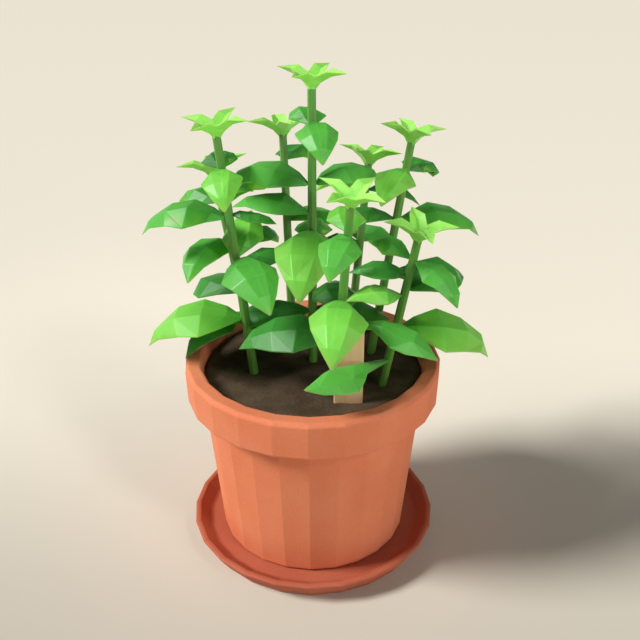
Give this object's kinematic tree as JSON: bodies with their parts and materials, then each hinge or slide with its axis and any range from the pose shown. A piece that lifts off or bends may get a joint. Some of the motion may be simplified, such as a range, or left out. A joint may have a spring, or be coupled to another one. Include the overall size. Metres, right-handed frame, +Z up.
{
  "type": "potted basil plant",
  "caption": "Bushy basil plant with upright leaning stems, paired arching leaves and star-shaped tips, in a faceted terracotta pot with soil, a bare wooden label and a saucer.",
  "frame": {"origin": "middle of the saucer's flat underside, where the object rests", "axes": "+Z straight up along the pot's axis; -Y towards the side with the plant label; +X to the right of it"},
  "size_m": [0.1825, 0.1594, 0.2687],
  "materials": {
    "terracotta": "matte unglazed fired clay",
    "saucer_clay": "matte unglazed fired clay, redder than the pot",
    "soil": "dark crumbly potting soil",
    "label_wood": "bare fine-grained wood",
    "stem": "satin green plant stem with lime young tips",
    "leaf_light": "semi-gloss young basil leaf",
    "leaf_mid": "semi-gloss basil leaf",
    "leaf_dark": "semi-gloss old basil leaf"
  },
  "bodies": {
    "root": {"saucer": "saucer_clay", "pot": "terracotta", "soil": "soil", "plant_label": "label_wood", "stem_centre": "stem", "leaf_centre_1": "leaf_mid", "leaf_centre_2": "leaf_mid", "leaf_centre_3": "leaf_mid", "leaf_centre_4": "leaf_mid", "leaf_centre_5": "leaf_mid", "leaf_centre_6": "leaf_mid", "leaf_centre_7": "leaf_light", "leaf_centre_8": "leaf_dark", "leaf_centre_9": "leaf_dark", "stem_left": "stem", "leaf_left_1": "leaf_light", "leaf_left_2": "leaf_dark", "leaf_left_3": "leaf_mid", "leaf_left_4": "leaf_dark", "leaf_left_5": "leaf_mid", "leaf_left_6": "leaf_light", "leaf_left_7": "leaf_light", "stem_back_left": "stem", "leaf_back_left_1": "leaf_mid", "leaf_back_left_2": "leaf_mid", "leaf_back_left_3": "leaf_mid", "leaf_back_left_4": "leaf_dark", "leaf_back_left_5": "leaf_dark", "leaf_back_left_6": "leaf_dark", "stem_back": "stem", "leaf_back_1": "leaf_dark", "leaf_back_2": "leaf_light", "leaf_back_3": "leaf_mid", "leaf_back_4": "leaf_dark", "stem_back_right": "stem", "leaf_back_right_1": "leaf_light", "leaf_back_right_2": "leaf_dark", "leaf_back_right_3": "leaf_mid", "leaf_back_right_4": "leaf_dark", "stem_right": "stem", "leaf_right_1": "leaf_light", "leaf_right_2": "leaf_dark", "leaf_right_3": "leaf_mid", "leaf_right_4": "leaf_dark", "leaf_right_5": "leaf_dark", "stem_front_right": "stem", "leaf_front_right_1": "leaf_mid", "leaf_front_right_2": "leaf_mid", "leaf_front_right_3": "leaf_dark", "leaf_front_right_4": "leaf_light", "leaf_front_right_5": "leaf_dark", "leaf_front_right_6": "leaf_light", "leaf_front_right_7": "leaf_mid", "stem_front": "stem", "leaf_front_1": "leaf_mid", "leaf_front_2": "leaf_light", "leaf_front_3": "leaf_light", "leaf_front_4": "leaf_dark", "leaf_front_5": "leaf_dark", "leaf_front_6": "leaf_mid"}
  },
  "joints": []
}
